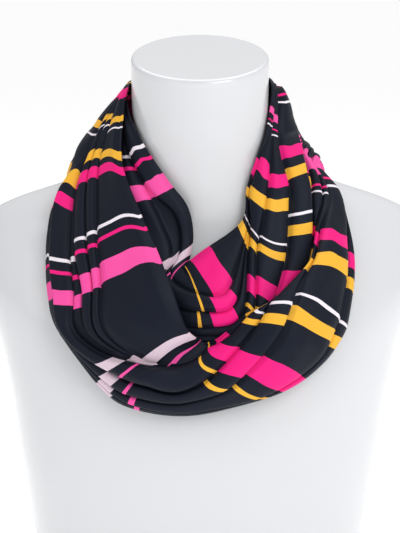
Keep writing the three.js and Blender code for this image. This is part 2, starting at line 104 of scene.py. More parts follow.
def curved(a, b, slope_in, slope_out, f):
    """A value between a and b, on a curve that has these slopes at its ends."""
    return between(a, b, eased(f)) + slope_in * f * (1 - f) ** 2 - slope_out * f * f * (1 - f)


def as_level(half, front, back, square):
    """Half width, middle, half depth and squareness of a level section."""
    return half, (front + back) / 2, (back - front) / 2, square


def form_level(height):
    """The form's level at a height, straight between the table's rows."""
    i = 0
    while i < len(FORM_LEVELS) - 2 and height > FORM_LEVELS[i + 1][0]:
        i += 1
    low, high = FORM_LEVELS[i], FORM_LEVELS[i + 1]
    f = min(1.0, max(0.0, (height - low[0]) / (high[0] - low[0])))
    return as_level(*(between(a, b, f) for a, b in zip(low[1:], high[1:])))


def smooth_level(height):
    """The form's level at a height, on a smooth curve through the table's rows."""
    rows = FORM_LEVELS
    i = max(k for k in range(len(rows) - 1) if rows[k][0] <= height)
    a, b, c, d = (rows[min(len(rows) - 1, max(0, i + k))] for k in (-1, 0, 1, 2))
    gap = c[0] - b[0]
    before = gap / (b[0] - a[0]) if b[0] > a[0] else 1
    after = gap / (d[0] - c[0]) if d[0] > c[0] else 1
    values = []
    for k in (1, 2, 3, 4):
        slope_in = ((c[k] - b[k]) + (b[k] - a[k]) * before) / 2
        slope_out = ((c[k] - b[k]) + (d[k] - c[k]) * after) / 2
        values.append(curved(b[k], c[k], slope_in, slope_out, (height - b[0]) / gap))
    return as_level(*values)


def form_ring(level, height, tilt=0.0):
    """The points round the form at a height, rising towards the back by the tilt."""
    half, middle, depth, square = level
    ring = []
    for i in range(FORM_FACETS):
        angle = 2 * math.pi * i / FORM_FACETS
        side, back = math.cos(angle), math.sin(angle)
        x = half * math.copysign(abs(side) ** (2 / square), side)
        y = depth * math.copysign(abs(back) ** (2 / square), back)
        ring.append((x * MM, (middle + y) * MM, (height + tilt * y) * MM))
    return ring


def mesh_piece(name, points, faces):
    mesh = bpy.data.meshes.new(name)
    mesh.from_pydata(points, [], faces)
    mesh.update()
    mesh.polygons.foreach_set("use_smooth", [True] * len(mesh.polygons))
    piece = bpy.data.objects.new(name, mesh)
    bpy.context.scene.collection.objects.link(piece)
    return piece


def finish(name, look):
    """A material whose shader has these values."""
    material = bpy.data.materials.new(name)
    material.use_nodes = True
    shader = material.node_tree.nodes["Principled BSDF"]
    for socket, value in look.items():
        shader.inputs[socket].default_value = value
    return material


# Level rings up to the collar, tilting ones up the neck, and then the round rim of the cap. The
# last row of the table lies above the cap, and only gives the neck its slope.
rings = []
for row, above in zip(FORM_LEVELS[:-2], FORM_LEVELS[1:-1]):
    for step in range(FORM_STEPS):
        height = between(row[0], above[0], step / FORM_STEPS)
        rings.append(form_ring(smooth_level(height), height))
collar_height = FORM_LEVELS[-2][0]
for step in range(FORM_STEPS):
    f = step / FORM_STEPS
    height = between(collar_height, CAP_HEIGHT - CAP_RIM, f)
    rings.append(form_ring(form_level(height), height, CAP_TILT * f))
half, middle, depth, square = form_level(CAP_HEIGHT)
for step in range(FORM_STEPS + 1):
    turn = math.pi / 2 * step / FORM_STEPS
    inset = CAP_RIM * (1 - math.cos(turn))
    height = CAP_HEIGHT - CAP_RIM * (1 - math.sin(turn))
    rings.append(form_ring((half - inset, middle, depth - inset, square), height, CAP_TILT))
points = [point for ring in rings for point in ring]
faces = []
for r in range(len(rings) - 1):
    for i in range(FORM_FACETS):
        j = (i + 1) % FORM_FACETS
        low, high = r * FORM_FACETS, (r + 1) * FORM_FACETS
        faces.append((low + i, low + j, high + j, high + i))
faces.append(tuple(reversed(range(FORM_FACETS))))
faces.append(tuple(range(len(points) - FORM_FACETS, len(points))))
bust = mesh_piece("bust_shell", points, faces)
for flat_end in bust.data.polygons[-2:]:
    flat_end.use_smooth = False
bust.data.materials.append(finish("white gloss lacquer", GLOSS))
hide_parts("bust_form")
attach(bust, "root")


# Inner wrap
# The first turn of the scarf, a tube of printed jersey. It lies close round the nape, comes down
# the left of the neck, crosses under the throat and goes up the right in gathered rolls.
INNER_SECTIONS = [
    # name, upper edge, middle and lower edge, and the thread that lies at each
    ("nape", (0, 55, 416), (0, 62, 398), (0, 72, 374), (-10, -10, -10)),
    ("nape left", (-42, 33, 417), (-50, 42, 397), (-58, 52, 376), (124, 124, 124)),
    ("side left", (-61, -8, 413), (-65, -4, 395), (-72, 2, 376), (140, 140, 140)),
    ("neck left", (-60, -26, 399), (-64, -22, 389), (-70, -18, 374), (162, 163, 163)),
    ("white left", (-48, -46, 377), (-60, -40, 366), (-74, -30, 358), (186, 187, 187)),
    ("rose left", (-28, -59, 349), (-46, -62, 341), (-66, -56, 334), (219, 213, 218)),
    ("fold left", (-12, -63, 328), (-34, -70, 317), (-58, -66, 307), (240, 244, 244)),
    ("lilac left", (-7, -66, 304), (-28, -82, 288), (-48, -82, 274), (264, 288, 292)),
    ("neckline", (-10, -75, 286), (-28, -95, 266), (-32, -101, 232), (284, 321, 330)),
    ("thin gold", (-12, -82, 282), (2, -107, 252), (8, -103, 214), (362, 362, 362)),
    ("wide pink", (2, -77, 292), (29, -104, 258), (56, -95, 226), (382, 382, 376)),
    ("gold right", (35, -62, 314), (57, -79, 288), (88, -66, 280), (427, 424, 375)),
    ("collar right", (40, -54, 341), (62, -60, 330), (92, -48, 332), (470, 480, 425)),
    ("pink right", (47, -48, 363), (65, -50, 350), (87, -34, 355), (488, 501, 456)),
    ("white right", (57, -30, 390), (66, -22, 380), (82, -14, 378), (550, 530, 508)),
    ("side right", (62, -4, 426), (72, 4, 404), (79, 8, 370), (575, 550, 520)),
    ("nape right", (46, 36, 423), (53, 42, 402), (60, 54, 374), (640, 636, 632)),
]
# At each place: how high the upper edge stands, and then for each fold, from the upper edge to
# the lower one, the share of the width where it ends, its crest's height, and the height of the
# crease after it, in mm.
INNER_FOLDS = [
    ("nape", 1, (0.20, 0.36, 0.52, 0.68, 0.84, 1),
     (4, 4, 4, 4, 4, 4), (1, 1, 1, 1, 1, 1)),
    ("side left", 1, (0.30, 0.40, 0.66, 0.78, 0.90, 1),
     (4, 1, 4, 2, 2, 2), (0, 0, 0, 1, 1, 1)),
    ("white left", 2, (0.42, 0.46, 0.80, 0.88, 0.94, 1),
     (5, -1, 5, 2, 2, 2), (-1, -1, 0, 1, 1, 1)),
    ("rose left", 2, (0.40, 0.45, 0.88, 0.93, 0.97, 1),
     (6, -1, 6, 1, 1, 1), (-1, -1, 0, 0, 0, 1)),
    ("fold left", 2, (0.22, 0.46, 0.90, 0.94, 0.97, 1),
     (6, -2, 6, 1, 1, 1), (0, -1, 0, 0, 0, 1)),
    ("lilac left", 2, (0.22, 0.38, 0.90, 0.94, 0.97, 1),
     (6, -2, 6, 1, 1, 1), (0, -1, 0, 0, 0, 1)),
    ("neckline", 2, (0.34, 0.62, 0.85, 0.90, 0.95, 1),
     (4, 6, 3, 2, 2, 2), (0, 0, 0, 0, 0, 1)),
    ("thin gold", 2, (0.33, 0.52, 0.70, 0.80, 0.90, 1),
     (5, 9, 4, 2, 2, 2), (0, 0, -1, -1, 0, 1)),
    ("wide pink", 2, (0.38, 0.50, 0.62, 0.74, 0.86, 1),
     (5, 8, 4, 5, 5, 5), (0, 0, -1, -1, -1, 1)),
    ("gold right", 2, (0.10, 0.13, 0.16, 0.30, 0.72, 1),
     (4, 2, 1, 6, 7, 8), (0, 0, -1, -1, -1, 2)),
    ("collar right", 2, (0.01, 0.02, 0.03, 0.36, 0.72, 1),
     (2, 1, 1, 5, 6, 9), (1, 0, 0, -1, -2, 2)),
    ("pink right", 2, (0.01, 0.02, 0.03, 0.30, 0.68, 1),
     (2, 1, 1, 5, 6, 9), (1, 0, 0, -1, -2, 2)),
    ("white right", 2, (0.01, 0.02, 0.03, 0.16, 0.40, 1),
     (2, 1, 1, 3, 5, 8), (1, 0, 0, -1, -1, 2)),
    ("side right", 1, (0.01, 0.02, 0.03, 0.05, 0.08, 1),
     (1, 1, 1, 1, 2, 7), (1, 1, 0, 0, 0, 1)),
    ("nape right", 1, (0.14, 0.28, 0.42, 0.56, 0.72, 1),
     (3, 3, 3, 4, 4, 5), (1, 1, 1, 1, 1, 1)),
]
# Where the thread has slipped: how far it is ahead in the middle of each fold, and how much
# further at the fold's lower edge than at its upper one, in mm.
INNER_SLIPS = [
    # place, ahead in each fold, slant in each fold
    ("rose left", (-2, 0, 0, 0, 0, 0), (0, 0, 0, 0, 0, 0)),
    ("lilac left", (11, 6, -3, 0, 0, 0), (0, 0, 0, 0, 0, 0)),
    ("neckline", (12, 0, 0, 0, 0, 0), (0, 0, 0, 0, 0, 0)),
    ("thin gold", (0, 0, 5, -20, -20, -20), (0, 0, 0, 0, 0, 0)),
    ("wide pink", (0, 7, 14, -24, -24, -24), (0, 0, 0, 0, 0, 0)),
    ("gold right", (0, 0, 0, 0, 0, 3), (0, 0, 0, 0, 0, 3)),
    ("collar right", (13, 13, 13, 0, 4, 5), (0, 0, 0, 0, 0, 5)),
    ("pink right", (13, 13, 13, 0, 1, 3), (0, 0, 0, 0, 0, 9)),
    ("white right", (-9, -9, -9, -6, 10, -10), (0, 0, 0, 0, 0, 3)),
    ("side right", (60, 60, 60, 60, 60, -5), (0, 0, 0, 0, 0, -6)),
]
# Soft creases that run slantwise over the folds, deepest halfway, in mm.
INNER_CREASES = [
    # from place, share of the width, to place, share of the width, half width, depth
    ("nape", 0.45, "side left", 0.60, 4, 0.6),
    ("side left", 0.50, "rose left", 0.66, 4, 0.8),
    ("rose left", 0.72, "lilac left", 0.54, 6, 1.2),
    ("fold left", 0.08, "neckline", 0.22, 4, 0.7),
    ("neckline", 0.10, "wide pink", 0.26, 6, 1.1),
    ("thin gold", 0.20, "gold right", 0.05, 5, 0.8),
    ("gold right", 0.45, "pink right", 0.54, 4, 0.8),
    ("collar right", 0.92, "white right", 0.72, 6, 1.1),
    ("white right", 0.55, "nape right", 0.80, 7, 1.2),
]
# What shows of the cloth on this turn, cut flat: across it and round the turn, in metres.
# The cloth's wall, and the radius and the angles at which its edges roll under.
CLOTH_WALL = 1.4
EDGE_ROLL = 2.0
EDGE_ANGLES = (25, 50, 75, 100)
# How finely the wrap is made, and the step to either side that gives a direction.
STEPS_ALONG = 12
POINTS_PER_FOLD = 12
SIDE_STEP = 0.05
# The least share of the width that a fold takes, and the share where the last one starts at
# the latest.
LEAST_SHARE = 0.004
LAST_FROM = 0.995
# A narrow fold is round and a wide one squarer. Its height drifts a little along the wrap.
ROUND = 2
SQUARER = 2.2
SQUARE_FROM = 50
DRIFT = 0.2
DRIFT_ALONG = 0.9
DRIFT_APART = 7.3
DRIFT_LAYER = 2.0
# In a narrow fold the stripes go straight across, and in a wide one they follow the cloth. They
# ripple a little, and may droop at the wrap's upper edge.
STRAIGHTNESS = 0.92
STRAIGHT_TO = 22
STRAIGHT_FADE = 26
RIPPLE = 1.6
RIPPLE_ACROSS = 5
RIPPLE_ALONG = 1.1
RIPPLE_APART = 3.7
DROOP_REACH = 16
INNER_DROOP = 0
# How the cloth is kept clear of the form: its gap, the reach that finds the way out, the steps
# that it moves by, and how often these moves are spread to their neighbours.
CLEAR_OF_FORM = 0.5
FORM_REACH = 3
PUSH_STEP = 0.5
FURTHEST_PUSH = 30
EASING_PASSES = 6
# The print, in mm along the thread: its repeat, and how often it repeats on a turn of the scarf.
PATTERN_REPEAT = 360
REPEATS_PER_TURN = 2


def names_of(sections):
    return [row[0] for row in sections]


def round_curve(values, s, gain=0.0):
    """A smooth closed curve through values at whole steps; it gains so much each time round."""
    n = len(values)
    i = math.floor(s)
    f = s - i
    a, b, c, d = (values[(i + k) % n] + gain * ((i + k) // n) for k in (-1, 0, 1, 2))
    return b + 0.5 * f * (c - a + f * (2 * a - 5 * b + 4 * c - d + f * (3 * (b - c) + d - a)))


def across_weights(t):
    """How much the upper, middle and lower value of a section count at the share t across."""
    return (1 - t) * (1 - 2 * t), 4 * t * (1 - t), t * (2 * t - 1)


def section_curves(sections, s):
    """The three points of the section at s, in mm."""
    return [
        Vector([round_curve([row[part][axis] for row in sections], s) for axis in range(3)])
        for part in (1, 2, 3)
    ]


def on_section(curves, t):
    upper, middle, lower = across_weights(t)
    return curves[0] * upper + curves[1] * middle + curves[2] * lower


def thread_at(sections, s, t):
    """The thread that lies at a point of the wrap, in mm from the start of the print."""
    gain = PATTERN_REPEAT * REPEATS_PER_TURN
    parts = [round_curve([row[4][k] for row in sections], s, gain) for k in range(3)]
    return sum(weight * value for weight, value in zip(across_weights(t), parts))


def outside_form(point, margin):
    """Over 1 where a point is outside the form by more than the margin."""
    half, middle, depth, square = form_level(point.z - margin)
    x = abs(point.x) / (half + margin)
    y = abs(point.y - middle) / (depth + margin)
    return x**square + y**square


def away_from_form(point):
    way = Vector()
    for axis in range(3):
        step = Vector()
        step[axis] = FORM_REACH
        way[axis] = outside_form(point + step, 0) - outside_form(point - step, 0)
    return way.normalized()


def between_places(rows, names, pick, s):
    """A fold's number at s, on a smooth curve through the places where it is given."""
    stops = [names.index(row[0]) for row in rows]
    k = max(i for i, stop in enumerate(stops) if i == 0 or s >= stop)
    around = [(k + step) % len(rows) for step in (-1, 0, 1, 2)]
    values = [pick(rows[i]) for i in around]
    gaps = [(stops[b] - stops[a]) % len(names) for a, b in zip(around, around[1:])]
    slope_in = (values[2] - values[0]) / (gaps[0] + gaps[1]) * gaps[1]
    slope_out = (values[3] - values[1]) / (gaps[1] + gaps[2]) * gaps[1]
    return curved(values[1], values[2], slope_in, slope_out, (s - stops[k]) / gaps[1])


def folds_at(sections, folds, slips, s):
    """The folds across the wrap at s: start, end, crease, crest, next crease, slip and slant."""
    names = names_of(sections)
    count = len(folds[0][2])
    unslipped = ((0,) * count, (0,) * count)
    slipped = {place: (ahead, slant) for place, ahead, slant in slips}
    crease = between_places(folds, names, lambda row: row[1], s)
    start = 0.0
    found = []
    for k in range(count):
        end, crest, after = (
            between_places(folds, names, lambda row: row[column][k], s) for column in (2, 3, 4)
        )
        slip, slant = (
            between_places(folds, names, lambda row: slipped.get(row[0], unslipped)[part][k], s)
            for part in (0, 1)
        )
        end = 1.0 if k == count - 1 else min(LAST_FROM, max(start + LEAST_SHARE, end))
        found.append((start, end, crease, crest, after, slip, slant))
        start, crease = end, after
    return found


def crease_depth(sections, creases, s, t, breadth):
    """How far the soft creases lower the cloth at a point, in mm."""
    names = names_of(sections)
    depth = 0.0
    for first, start, last, end, half_width, deepest in creases:
        f = (s - names.index(first)) / (names.index(last) - names.index(first))
        if 0 < f < 1:
            off = (t - between(start, end, eased(f))) * breadth / half_width
            depth += deepest * math.sin(math.pi * f) * math.exp(-off * off)
    return depth


def way_out(curves, ahead, behind, t):
    """The way out at t, halfway between square to the cloth and straight off the form."""
    along = on_section(ahead, t) - on_section(behind, t)
    across = on_section(curves, min(1, t + SIDE_STEP)) - on_section(curves, max(0, t - SIDE_STEP))
    return (across.cross(along).normalized() + away_from_form(on_section(curves, t))).normalized()


def gathered_rows(sections, folds, slips, creases, edge_droop):
    """The wrap's points: rows along it, and in each row the same number of points in every fold."""
    rows = []
    for i in range(len(sections) * STEPS_ALONG):
        s = i / STEPS_ALONG
        curves = section_curves(sections, s)
        ahead = section_curves(sections, s + SIDE_STEP)
        behind = section_curves(sections, s - SIDE_STEP)
        breadth = (curves[1] - curves[0]).length + (curves[2] - curves[1]).length
        row = []
        for number, fold in enumerate(folds_at(sections, folds, slips, s)):
            start, end, before, crest, after, slip, slant = fold
            width = (end - start) * breadth
            drift = noise.noise(Vector((s * DRIFT_ALONG, number * DRIFT_APART, DRIFT_LAYER)))
            rise = (crest - (before + after) / 2) * (1 + DRIFT * drift)
            squareness = ROUND + SQUARER * min(1.0, width / SQUARE_FROM)
            straight = STRAIGHTNESS * (1 - eased((width - STRAIGHT_TO) / STRAIGHT_FADE))
            middle_thread = thread_at(sections, s, (start + end) / 2)
            for j in range(POINTS_PER_FOLD + 1):
                u = j / POINTS_PER_FOLD
                t = between(start, end, u)
                bulge = (1 - abs(2 * u - 1) ** squareness) ** (1 / squareness)
                height = between(before, after, u) + rise * bulge
                height -= crease_depth(sections, creases, s, t, breadth)
                spot = Vector((t * RIPPLE_ACROSS, s * RIPPLE_ALONG, number * RIPPLE_APART))
                droop = edge_droop * max(0.0, 1 - t * breadth / DROOP_REACH) ** 2
                thread = between(thread_at(sections, s, t), middle_thread, straight)
                thread += slip + slant * (u - 0.5) + RIPPLE * noise.noise(spot) - droop
                if j == 0 and number > 0:
                    row[-1]["thread_after"] = thread
                    continue
                out = way_out(curves, ahead, behind, t)
                row.append({
                    "s": s, "out": out, "skin": on_section(curves, t) + out * height,
                    "thread": thread, "thread_after": thread,
                })
        rows.append(row)
    return rows


def clear_of_form(point):
    """How far a point moves out before the inside of the cloth is clear of the form."""
    probe = point["skin"] - point["out"] * CLOTH_WALL
    push = 0.0
    while push < FURTHEST_PUSH and outside_form(probe, CLEAR_OF_FORM) < 1:
        probe = probe + point["out"] * PUSH_STEP
        push += PUSH_STEP
    return push


def ease_pushes(rows, pushes):
    """Spreads the moves to their neighbours, so that no step shows, and makes them."""
    n = len(rows)
    for _ in range(EASING_PASSES):
        before = [row[:] for row in pushes]
        for i in range(n):
            for j in range(len(rows[i])):
                sides = (
                    before[i - 1][j]
                    + before[(i + 1) % n][j]
                    + before[i][max(0, j - 1)]
                    + before[i][min(len(rows[i]) - 1, j + 1)]
                )
                pushes[i][j] = max(before[i][j], sides / 4)
    for row, moves in zip(rows, pushes):
        for point, move in zip(row, moves):
            point["skin"] = point["skin"] + point["out"] * move


def rolled_edge(edge, before):
    """The points that turn an edge of the cloth back under itself."""
    outward = edge["skin"] - before["skin"]
    outward = (outward - edge["out"] * outward.dot(edge["out"])).normalized()
    turned = []
    for angle in EDGE_ANGLES:
        turn = math.radians(angle)
        reach = outward * math.sin(turn) - edge["out"] * (1 - math.cos(turn))
        turned.append({**edge, "skin": edge["skin"] + reach * EDGE_ROLL})
    return turned


def ring_faces(rows):
    """The faces between one row and the next; the last row joins the first."""
    width = len(rows[0])
    faces = []
    for i in range(len(rows)):
        low, high = i * width, (i + 1) % len(rows) * width
        for j in range(width - 1):
            faces.append((low + j, low + j + 1, high + j + 1, high + j))
    return faces


def run_across(row):
    """How far each point of a row lies from its first one, over the cloth."""
    run = [0.0]
    for a, b in zip(row, row[1:]):
        run.append(run[-1] + (b["skin"] - a["skin"]).length)
    return run


def lay_print(piece, rows):
    """The UV map that the print follows: the way across the cloth and the thread, in metres."""
    runs = [run_across(row) for row in rows]
    uv = piece.data.uv_layers.new(name="cloth")
    loop = 0
    for i in range(len(rows)):
        k = (i + 1) % len(rows)
        gain = PATTERN_REPEAT * REPEATS_PER_TURN if k == 0 else 0
        for j in range(len(rows[i]) - 1):
            corners = (
                (i, j, "thread_after", 0), (i, j + 1, "thread", 0),
                (k, j + 1, "thread", gain), (k, j, "thread_after", gain),
            )
            for r, c, side, more in corners:
                uv.data[loop].uv = (runs[r][c] * MM, (rows[r][c][side] + more) * MM)
                loop += 1


def wrap_piece(name, rows):
    """The wrap as a closed shell of cloth with rolled edges."""
    rows = [
        rolled_edge(row[0], row[1])[::-1] + row + rolled_edge(row[-1], row[-2]) for row in rows
    ]
    points = [point["skin"] * MM for row in rows for point in row]
    piece = mesh_piece(name, points, ring_faces(rows))
    lay_print(piece, rows)
    shell = piece.modifiers.new("wall", "SOLIDIFY")
    shell.thickness = CLOTH_WALL * MM
    shell.offset = -1
    shell.use_even_offset = False
    with bpy.context.temp_override(object=piece, active_object=piece):
        bpy.ops.object.modifier_apply(modifier="wall")
    return piece


# The stripes, in mm along the thread from the start of the pattern's repeat.
NEAR_BLACK = (0.0042, 0.0056, 0.0125)
PINK = (0.82, 0.009, 0.20)
ROSE = (0.86, 0.080, 0.35)
GOLD = (0.82, 0.43, 0.036)
LILAC = (0.66, 0.52, 0.60)
WHITE = (0.80, 0.74, 0.80)
STRIPES = [
    # start, end, colour
    (0.4, 3.3, GOLD),
    (13, 31, PINK),
    (62, 72, GOLD),
    (80.2, 82.8, WHITE),
    (115, 126, GOLD),
    (134, 144, PINK),
    (185.2, 187.8, WHITE),
    (194.1, 196.6, PINK),
    (208, 221, ROSE),
    (290, 302, LILAC),
    (312.3, 315.1, ROSE),
]
JERSEY = {
    "Roughness": 0.52,
    "Specular IOR Level": 0.19,
    "Specular Tint": (0.78, 0.86, 1, 1),
    "Sheen Weight": 0.02,
    "Sheen Roughness": 0.45,
}
# A faint mottle in the dye, and the fine rib of the stitches, 0.2 mm high.
MOTTLE = {"Scale": 900, "Detail": 3}
MOTTLE_SHADE = {"To Min": 0.86, "To Max": 1.12}
RIB = {"Scale": 260, "Distortion": 1.5, "Detail Scale": 2.0}
RIB_RELIEF = {"Strength": 0.25, "Distance": 0.0002}


def new_node(tree, kind, inputs=None, **settings):
    """A shader node with these settings and these values on its inputs."""
    node = tree.nodes.new(kind)
    for key, value in settings.items():
        setattr(node, key, value)
    for socket, value in (inputs or {}).items():
        node.inputs[socket].default_value = value
    return node


def printed_stripes(tree, thread):
    """The colour of the print at a place along the thread, in metres."""
    link = tree.links.new
    per_metre = 1 / (PATTERN_REPEAT * MM)
    repeats = new_node(tree, "ShaderNodeMath", {1: per_metre}, operation="MULTIPLY")
    link(thread, repeats.inputs[0])
    place = new_node(tree, "ShaderNodeMath", operation="FRACT")
    link(repeats.outputs[0], place.inputs[0])
    ground = new_node(tree, "ShaderNodeRGB")
    ground.outputs[0].default_value = (*NEAR_BLACK, 1)
    printed = ground.outputs[0]
    for start, end, colour in STRIPES:
        middle = (start + end) / 2 / PATTERN_REPEAT
        half = (end - start) / 2 / PATTERN_REPEAT
        inside = new_node(tree, "ShaderNodeMath", {1: middle, 2: half}, operation="COMPARE")
        link(place.outputs[0], inside.inputs[0])
        dyed = new_node(tree, "ShaderNodeMix", data_type="RGBA")
        dyed.inputs["B"].default_value = (*colour, 1)
        link(inside.outputs[0], dyed.inputs["Factor"])
        link(printed, dyed.inputs["A"])
        printed = dyed.outputs["Result"]
    return printed


def striped_jersey():
    material = finish("striped jersey", JERSEY)
    tree = material.node_tree
    link = tree.links.new
    shader = tree.nodes["Principled BSDF"]
    uv = new_node(tree, "ShaderNodeUVMap", uv_map="cloth")
    split = new_node(tree, "ShaderNodeSeparateXYZ")
    link(uv.outputs["UV"], split.inputs["Vector"])
    mottle = new_node(tree, "ShaderNodeTexNoise", MOTTLE)
    link(uv.outputs["UV"], mottle.inputs["Vector"])
    shade = new_node(tree, "ShaderNodeMapRange", MOTTLE_SHADE)
    link(mottle.outputs["Fac"], shade.inputs["Value"])
    tint = new_node(tree, "ShaderNodeMix", data_type="RGBA", blend_type="MULTIPLY")
    tint.inputs["Factor"].default_value = 1.0
    link(printed_stripes(tree, split.outputs["Y"]), tint.inputs["A"])
    link(shade.outputs["Result"], tint.inputs["B"])
    link(tint.outputs["Result"], shader.inputs["Base Color"])
    rib = new_node(tree, "ShaderNodeTexWave", RIB, wave_type="BANDS", bands_direction="X")
    link(uv.outputs["UV"], rib.inputs["Vector"])
    relief = new_node(tree, "ShaderNodeBump", RIB_RELIEF)
    link(rib.outputs["Fac"], relief.inputs["Height"])
    link(relief.outputs["Normal"], shader.inputs["Normal"])
    return material


jersey = striped_jersey()
inner_rows = gathered_rows(INNER_SECTIONS, INNER_FOLDS, INNER_SLIPS, INNER_CREASES, INNER_DROOP)
ease_pushes(inner_rows, [[clear_of_form(point) for point in row] for row in inner_rows])
inner_wrap = wrap_piece("inner_wrap", inner_rows)
inner_wrap.data.materials.append(jersey)
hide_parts("inner_left", "inner_cross", "inner_right", "inner_back")
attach(inner_wrap, "root")


# Outer wrap
# The second turn, over the first: a wide panel and narrow rolls down the left, a thick roll
# across the chest, and a wide panel with pleats up the right to the nape.
# Its tables have the same columns as the inner wrap's.
OUTER_SECTIONS = [
    ("nape", (0, 71, 416), (0, 86, 384), (0, 78, 338), (-45, -25, -8)),
    ("nape left", (-49, 44, 423), (-71, 60, 386), (-82, 64, 342), (-18, 20, 56)),
    ("side left", (-60.5, -5, 425), (-87, 0, 391), (-112, 6, 351), (12, 64, 114)),
    ("gold high left", (-65, -28, 402), (-90, -22, 373), (-115, -18, 338), (60, 113, 128)),
    ("pink left", (-66, -52, 363), (-96, -33, 347), (-127, -33, 316), (137, 139, 150)),
    ("white left", (-50, -80, 326), (-93, -71, 303), (-129, -53, 284), (187, 187, 187)),
    ("rose left", (-36, -94, 297), (-88, -93, 270), (-125, -75, 252), (215, 215, 216)),
    ("low left", (-23, -112, 267), (-77, -111, 236), (-116, -87, 229), (248, 254, 242)),
    ("lilac", (-13, -121, 241), (-53, -121, 211), (-79, -107, 185), (296, 296, 296)),
    ("thin pink", (-4, -117, 230), (-38, -125, 203), (-51, -115, 171), (315, 304, 312)),
    ("bottom", (0, -113, 227), (-16, -127, 197), (-7, -118, 167), (336, 338, 342)),
    ("thin gold", (5, -113, 225), (16, -128, 197), (46, -114, 178), (362, 362, 362)),
    ("wide pink", (14, -113, 228), (44, -125, 212), (77, -108, 189), (382, 382, 382)),
    ("low right", (24, -112, 236), (67, -119, 228), (102, -97, 206), (402, 405, 408)),
    ("gold low right", (36, -111, 247), (72, -114, 248), (117, -88, 225), (427, 427, 427)),
    ("white low right", (56, -108, 257), (83, -104, 262), (122, -83, 238), (441, 441, 441)),
    ("gold right", (87, -87, 278), (102, -82, 287), (128, -66, 267), (480, 480, 480)),
    ("pink right", (95, -60, 301), (108, -64, 303), (129, -51, 290), (499, 499, 499)),
    ("plain right", (86, -40, 328), (106, -44, 324), (124, -33, 314), (526, 525, 522)),
    ("white high right", (83, -29, 345), (103, -28, 341), (120, -16, 330), (550, 549, 548)),
    ("rose high right", (82, -8, 372), (92, -9, 360), (108, -4, 344), (574, 574, 574)),
    ("side right", (84, 13, 382), (93, 12, 368), (106, 10, 352), (596, 592, 588)),
    ("nape right", (62, 52, 397), (72, 59, 372), (82, 62, 344), (634, 640, 645)),
]
